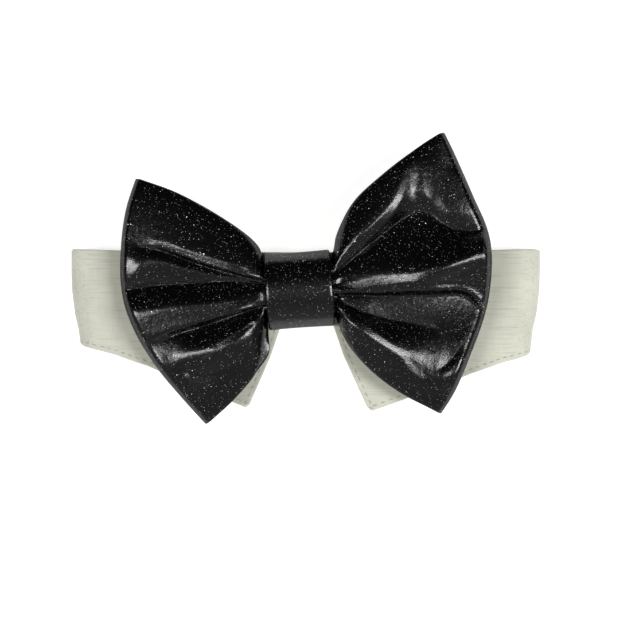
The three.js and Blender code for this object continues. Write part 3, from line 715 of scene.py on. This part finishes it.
def stitches(name, side):
    """The stitches of a leaf's seam, each a short thread that sinks into the cloth at both ends."""
    form = bmesh.new()
    bmesh.ops.create_icosphere(form, subdivisions=2, radius=1)
    corners = np.array([corner.co for corner in form.verts])
    faces = np.array([[corner.index for corner in face.verts] for face in form.faces])
    form.free()
    ahead, aside, up = corners.T
    top = CLOTH / 2 - STITCH["dip"]
    threads = []
    for middle, direction in zip(*seam_of(side)):
        reach = ahead * STITCH["length"] / 2
        spread = aside * STITCH["thread"] / 2
        along = middle[0] + direction[0] * reach - direction[1] * spread
        y = middle[1] + direction[1] * reach + direction[0] * spread
        lift = top + STITCH["thread"] * (STITCH["proud"] + up / 2 - STITCH["sink"] * ahead**2)
        threads.append(leaf_at(side, along, y, lift))
    shifts = np.arange(len(threads))[:, None, None] * len(corners)
    return mesh_object(name, np.concatenate(threads), (faces[None] + shifts).reshape(-1, 3))


def band_points():
    """The middle of the neck band's wall, once round the flattened loop inside the leaves."""
    radius = TURN - CLOTH - GAP
    v = fine_steps(BAND_GRID["across"], BAND_GRID["rim"])
    halves = []
    for side in (SIDES["right"], SIDES["left"]):
        run = run_of(side)
        along = np.concatenate([
            np.linspace(0, run, BAND_GRID["straight"])[:-1],
            np.linspace(run, run + TURN_LENGTH, BAND_GRID["turn"])[:-1],
            np.linspace(run + TURN_LENGTH, 2 * run + TURN_LENGTH, BAND_GRID["straight"]),
        ])
        y = mix(BAND["hem"], BAND["top"], v)[None, :] + 0 * along[:, None]
        halves.append(on_loop(side, along[:, None] + 0 * y, y, radius))
    right, left = halves
    return np.concatenate([right, left[::-1][1:-1]])


def closure_points():
    """The hook-and-loop pad under the neck band, a little uneven, with round corners."""
    length = 2 * (LEAF_BACK_END - PATCH["end_inset"])
    width = BAND["top"] - BAND["hem"] - 2 * PATCH["edge_inset"]
    half_x, half_y = from_edge(length / 2, PATCH["step"]), from_edge(width / 2, PATCH["step"])
    from_end, from_side = rounded_corner(half_x[:, None] + 0 * half_y, half_y + 0 * half_x[:, None])
    # one quarter is turned over into the other three
    x = np.concatenate([from_end, length - from_end[-2::-1]])
    x = np.concatenate([x, x[:, -2::-1]], 1) - length / 2
    y = np.concatenate([from_side, from_side[-2::-1]])
    y = np.concatenate([y, width - y[:, -2::-1]], 1) + BAND["hem"] + PATCH["edge_inset"]
    wave = np.sin(x / PATCH["wave_x"]) * np.sin(y / PATCH["wave_y"] + PATCH["wave_start"])
    z = CLOTH / 2 + PATCH["wave"] * (wave - 1) / 2
    return np.stack([x, y, z], -1)


# ------------------------------------------------------------------ materials
RIB_SCALE = 520  # ribs 0.6 mm apart
# layers of glitter: cells to the metre, a fleck's radius in its cell, and a power that leaves few bright
GLITTER = [
    {"scale": 2300, "radius": 0.24, "power": 9.0},
    {"scale": 1250, "radius": 0.2, "power": 12.0},
]
SOFT_RIM = 0.85  # share of its radius at which a fleck starts to fade


def new_material(name):
    """A material, its node tree and its shader."""
    material = bpy.data.materials.new(name)
    material.use_nodes = True
    return material, material.node_tree, material.node_tree.nodes["Principled BSDF"]


def feed(tree, node, inputs):
    """Link a node's inputs to the sockets, or set them to the plain values, that are named for them."""
    for name, value in inputs.items():
        if isinstance(value, bpy.types.NodeSocket):
            tree.links.new(value, node.inputs[name])
        else:
            node.inputs[name].default_value = value


def object_coordinates(tree):
    """Places on a piece, in metres."""
    return tree.nodes.new("ShaderNodeTexCoord").outputs["Object"]


def calculated(tree, operation, first, second):
    """A number made from two numbers."""
    node = tree.nodes.new("ShaderNodeMath")
    node.operation = operation
    feed(tree, node, {0: first, 1: second})
    return node.outputs["Value"]


def vector_calculated(tree, operation, inputs):
    """A vector made from vectors, or from one and its scale."""
    node = tree.nodes.new("ShaderNodeVectorMath")
    node.operation = operation
    feed(tree, node, inputs)
    return node.outputs["Vector"]


def ranged(tree, value, span, to_span):
    """A value taken from one span to another, and held within it."""
    node = tree.nodes.new("ShaderNodeMapRange")
    feed(tree, node, {"Value": value, "From Min": span[0], "From Max": span[1]})
    feed(tree, node, {"To Min": to_span[0], "To Max": to_span[1]})
    return node.outputs["Result"]


def stretched_noise(tree, where, scale, stretch=(1, 1, 1)):
    """Noise about 1 / scale across, drawn out along an axis where stretch is small."""
    mapping = tree.nodes.new("ShaderNodeMapping")
    feed(tree, mapping, {"Vector": where, "Scale": stretch})
    noise = tree.nodes.new("ShaderNodeTexNoise")
    feed(tree, noise, {"Vector": mapping.outputs["Vector"], "Scale": scale, "Detail": 3})
    return noise.outputs["Fac"]


def blended(tree, share, first, second, clamp=True):
    """A colour between two, or past them where its share isn't clamped."""
    node = tree.nodes.new("ShaderNodeMix")
    node.data_type = "RGBA"
    node.clamp_factor = clamp
    feed(tree, node, {"Factor": share, "A": (*first, 1), "B": (*second, 1)})
    return node.outputs["Result"]


def bumped(tree, height, strength, depth, over=None, inwards=False):
    """A normal roughened by a height that is depth metres deep, over another normal."""
    node = tree.nodes.new("ShaderNodeBump")
    node.invert = inwards
    feed(tree, node, {"Height": height, "Strength": strength, "Distance": depth})
    if over is not None:
        feed(tree, node, {"Normal": over})
    return node.outputs["Normal"]


def flecks(tree, where, scale, radius, power):
    """A layer of round flecks: how strong each one is, and how it tilts the surface."""
    cells = tree.nodes.new("ShaderNodeTexVoronoi")
    feed(tree, cells, {"Vector": where, "Scale": scale})
    disc = ranged(tree, cells.outputs["Distance"], (radius * SOFT_RIM, radius), (1, 0))
    own = tree.nodes.new("ShaderNodeSeparateColor")
    feed(tree, own, {"Color": cells.outputs["Color"]})
    strength = calculated(tree, "POWER", own.outputs["Red"], power)
    centred = vector_calculated(tree, "SUBTRACT", {0: cells.outputs["Color"], 1: (0.5, 0.5, 0.5)})
    on_fleck = calculated(tree, "GREATER_THAN", disc, 0.01)
    tilt = vector_calculated(tree, "SCALE", {0: centred, "Scale": on_fleck})
    return calculated(tree, "MULTIPLY", disc, strength), tilt


def vinyl_material():
    """Black vinyl with silver glitter under a clear coat."""
    material, tree, shader = new_material("glitter_vinyl")
    where = object_coordinates(tree)

    # fine crinkles break the highlights up, under the grain
    crinkle = bumped(tree, stretched_noise(tree, where, 620), 1.0, 0.00008)
    grain = tree.nodes.new("ShaderNodeTexNoise")
    feed(tree, grain, {"Vector": where, "Scale": 2600})
    coat = bumped(tree, grain.outputs["Fac"], 0.2, 0.0002, over=crinkle)

    # the grain takes the gloss off where the coat is seen edge on
    edge_on = tree.nodes.new("ShaderNodeLayerWeight").outputs["Facing"]
    gloss = ranged(tree, edge_on, (0.25, 0.7), (1.0, 0.3))

    metal, normal = 0.0, coat
    for layer in GLITTER:
        fleck, tilt = flecks(tree, where, **layer)
        metal = calculated(tree, "MAXIMUM", metal, fleck)
        normal = vector_calculated(tree, "ADD", {0: normal, 1: tilt})
    black, silver = (0.0010, 0.0012, 0.0011), (0.8, 0.82, 0.8)
    feed(tree, shader, {
        "Base Color": blended(tree, metal, black, silver),
        "Metallic": metal,
        "Roughness": 0.34,
        "Specular IOR Level": 0.0,
        "Normal": vector_calculated(tree, "NORMALIZE", {0: normal}),
        "Coat Weight": gloss,
        "Coat Roughness": 0.2,
        "Coat Normal": coat,
    })
    return material


def cloth_material():
    """Off-white ribbed cotton, with slubs along its ribs and a slightly cloudy dye."""
    material, tree, shader = new_material("collar_cloth")
    where = object_coordinates(tree)
    ribs = tree.nodes.new("ShaderNodeTexWave")
    ribs.bands_direction = "Y"
    feed(tree, ribs, {"Vector": where, "Scale": RIB_SCALE, "Distortion": 0.6})
    slubs = stretched_noise(tree, where, 1700, (0.05, 1, 1))
    clouds = stretched_noise(tree, where, 110)
    threads = stretched_noise(tree, where, 1900, (1, 0.12, 1))
    shade = ranged(tree, slubs, (0.3, 0.5), (0.84, 1.0))
    for noise, tones in ((clouds, (0.94, 1.05)), (threads, (0.97, 1.02))):
        shade = calculated(tree, "MULTIPLY", shade, ranged(tree, noise, (0.3, 0.7), tones))
    relief = calculated(tree, "MULTIPLY", ribs.outputs["Fac"], slubs)
    dark, off_white = (0, 0, 0), (0.64, 0.64, 0.543)
    feed(tree, shader, {
        "Base Color": blended(tree, shade, dark, off_white, clamp=False),
        "Roughness": 0.9,
        "Sheen Weight": 0.15,
        "Normal": bumped(tree, relief, 0.5, 0.0001),
    })
    return material


def thread_material():
    """Twisted cotton thread, a little darker than the cloth."""
    material, tree, shader = new_material("stitch_thread")
    twist = stretched_noise(tree, object_coordinates(tree), 5200, (1, 0.4, 1))
    shadow, cotton = (0.3, 0.3, 0.25), (0.56, 0.56, 0.47)
    feed(tree, shader, {"Base Color": blended(tree, twist, shadow, cotton), "Roughness": 0.8})
    return material


def closure_material():
    """The short loop pile of a hook-and-loop pad, with painted shade darkening it between the loops."""
    material, tree, shader = new_material("closure_pile")
    loops = tree.nodes.new("ShaderNodeTexVoronoi")
    feed(tree, loops, {"Vector": object_coordinates(tree), "Scale": 1100})
    from_loop = loops.outputs["Distance"]
    # the pile darkens away from each loop's middle: painted shade down between the loops
    pile, painted_shade_between_loops = (0.66, 0.67, 0.58), (0.4, 0.4, 0.34)
    feed(tree, shader, {
        "Base Color": blended(tree, from_loop, pile, painted_shade_between_loops),
        "Roughness": 0.95,
        "Sheen Weight": 0.4,
        "Normal": bumped(tree, from_loop, 0.8, 0.0003, inwards=True),
    })
    return material


# ------------------------------------------------------------------ camera, lights and floor, in metres
CAMERA = {
    "place": (0.0047, -0.0138, 0.9),  # straight above, as far off as a product camera stands
    "sensor": 36,  # millimetres, as the lens is
    "level": 0.022,  # height of the bow's panels
    "width": 0.208,  # what the picture takes in at that height
}
LIGHTS = {
    "left_box": {"place": (-0.33, -0.04, 0.66), "size": (0.1, 0.34), "power": 2.5},
    "right_box": {"place": (0.33, -0.04, 0.66), "size": (0.1, 0.34), "power": 3.0},
    "right_fill": {"place": (0.45, -0.06, 0.2), "size": (0.3, 0.3), "power": 0.3},
}
LIT_PLACE = (0, 0, 0.02)
FLOOR = {"half_side": 6.0, "drop": 0.0002, "grey": 0.6, "roughness": 0.9, "glow": 0.7}
SKY = {
    "behind": 0.01,  # strength of its light from where Y is above the first of its span
    "ahead": 0.5,  # and from where Y is below the second
    "span": (0.15, -0.95),
    "backdrop": 0.9,  # how bright the camera sees it
}


def camera():
    """A camera straight above the bow, with Y up in its picture."""
    view = bpy.data.cameras.new("camera")
    view.sensor_width = CAMERA["sensor"]
    view.lens = CAMERA["sensor"] * (CAMERA["place"][2] - CAMERA["level"]) / CAMERA["width"]
    seat = bpy.data.objects.new("camera", view)
    seat.location = CAMERA["place"]
    bpy.context.scene.collection.objects.link(seat)
    bpy.context.scene.camera = seat


def soft_light(name, place, size, power):
    """A rectangular light that points at the bow."""
    lamp = bpy.data.lights.new(name, "AREA")
    lamp.shape = "RECTANGLE"
    lamp.size, lamp.size_y = size
    lamp.energy = power
    holder = bpy.data.objects.new(name, lamp)
    holder.location = place
    holder.rotation_mode = "QUATERNION"
    holder.rotation_quaternion = (Vector(LIT_PLACE) - Vector(place)).to_track_quat("-Z", "Y")
    bpy.context.scene.collection.objects.link(holder)
    return holder


def floor_material():
    """Pale grey that glows a little, as in a light tent."""
    material, tree, shader = new_material("floor")
    feed(tree, shader, {
        "Base Color": (FLOOR["grey"], FLOOR["grey"], FLOOR["grey"], 1),
        "Roughness": FLOOR["roughness"],
        "Emission Color": (1, 1, 1, 1),
        "Emission Strength": FLOOR["glow"],
    })
    return material


def studio():
    """Two soft boxes, a fill light, the sky and a floor."""
    lights = {name: soft_light(name, **light) for name, light in LIGHTS.items()}
    # light thrown back from the room on the right is too even to be mirrored in the vinyl
    lights["right_fill"].visible_glossy = False
    sky()
    side = FLOOR["half_side"]
    mesh = bpy.data.meshes.new("floor")
    corners = [(-side, -side, 0), (side, -side, 0), (side, side, 0), (-side, side, 0)]
    mesh.from_pydata(corners, [], [(0, 1, 2, 3)])
    floor = bpy.data.objects.new("floor", mesh)
    floor.location.z = -FLOOR["drop"]
    floor.data.materials.append(floor_material())
    bpy.context.scene.collection.objects.link(floor)
    bpy.context.scene.view_settings.view_transform = "Standard"


def sky():
    """A room that lights the bow from in front and is dark behind it, seen itself as a pale backdrop."""
    world = bpy.data.worlds.new("studio")
    bpy.context.scene.world = world
    world.use_nodes = True
    tree = world.node_tree
    axes = tree.nodes.new("ShaderNodeSeparateXYZ")
    feed(tree, axes, {"Vector": tree.nodes.new("ShaderNodeTexCoord").outputs["Generated"]})
    light = ranged(tree, axes.outputs["Y"], SKY["span"], (SKY["behind"], SKY["ahead"]))
    to_camera = tree.nodes.new("ShaderNodeLightPath").outputs["Is Camera Ray"]
    seen = calculated(tree, "MULTIPLY", to_camera, SKY["backdrop"])
    strength = calculated(tree, "MAXIMUM", light, seen)
    feed(tree, tree.nodes["Background"], {"Color": (1, 1, 1, 1), "Strength": strength})


# ------------------------------------------------------------------ assembly
def dress(piece, material, node=None):
    """A piece with its material, riding on the part, in place of a CAD node if one is named."""
    piece.data.materials.append(material)
    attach(piece, "root")
    if node:
        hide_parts(node)
    return piece


camera()
studio()
vinyl = vinyl_material()
cloth = cloth_material()
thread = thread_material()

knot = dress(wall_mesh("knot", knot_points(), VINYL, closed=True), vinyl, "knot_band")
for name, wing in WINGS.items():
    panel = wall_mesh(f"wing_{name}", wing_points(wing), VINYL, soften=WING_GRID["soft_normals"])
    dress(panel, vinyl, f"bow_wing_{name}")

band = dress(wall_mesh("neckband", band_points(), CLOTH, closed=True), cloth, "collar_band")
for name, side in SIDES.items():
    leaf = wall_mesh(f"leaf_{name}", leaf_points(side), CLOTH)
    dress(leaf, cloth, f"collar_leaf_{name}")
    seam = dress(stitches(f"stitches_{name}", side), thread)

pad = wall_mesh("closure", closure_points(), CLOTH - PATCH["wave"])
dress(pad, closure_material(), "closure_patch")
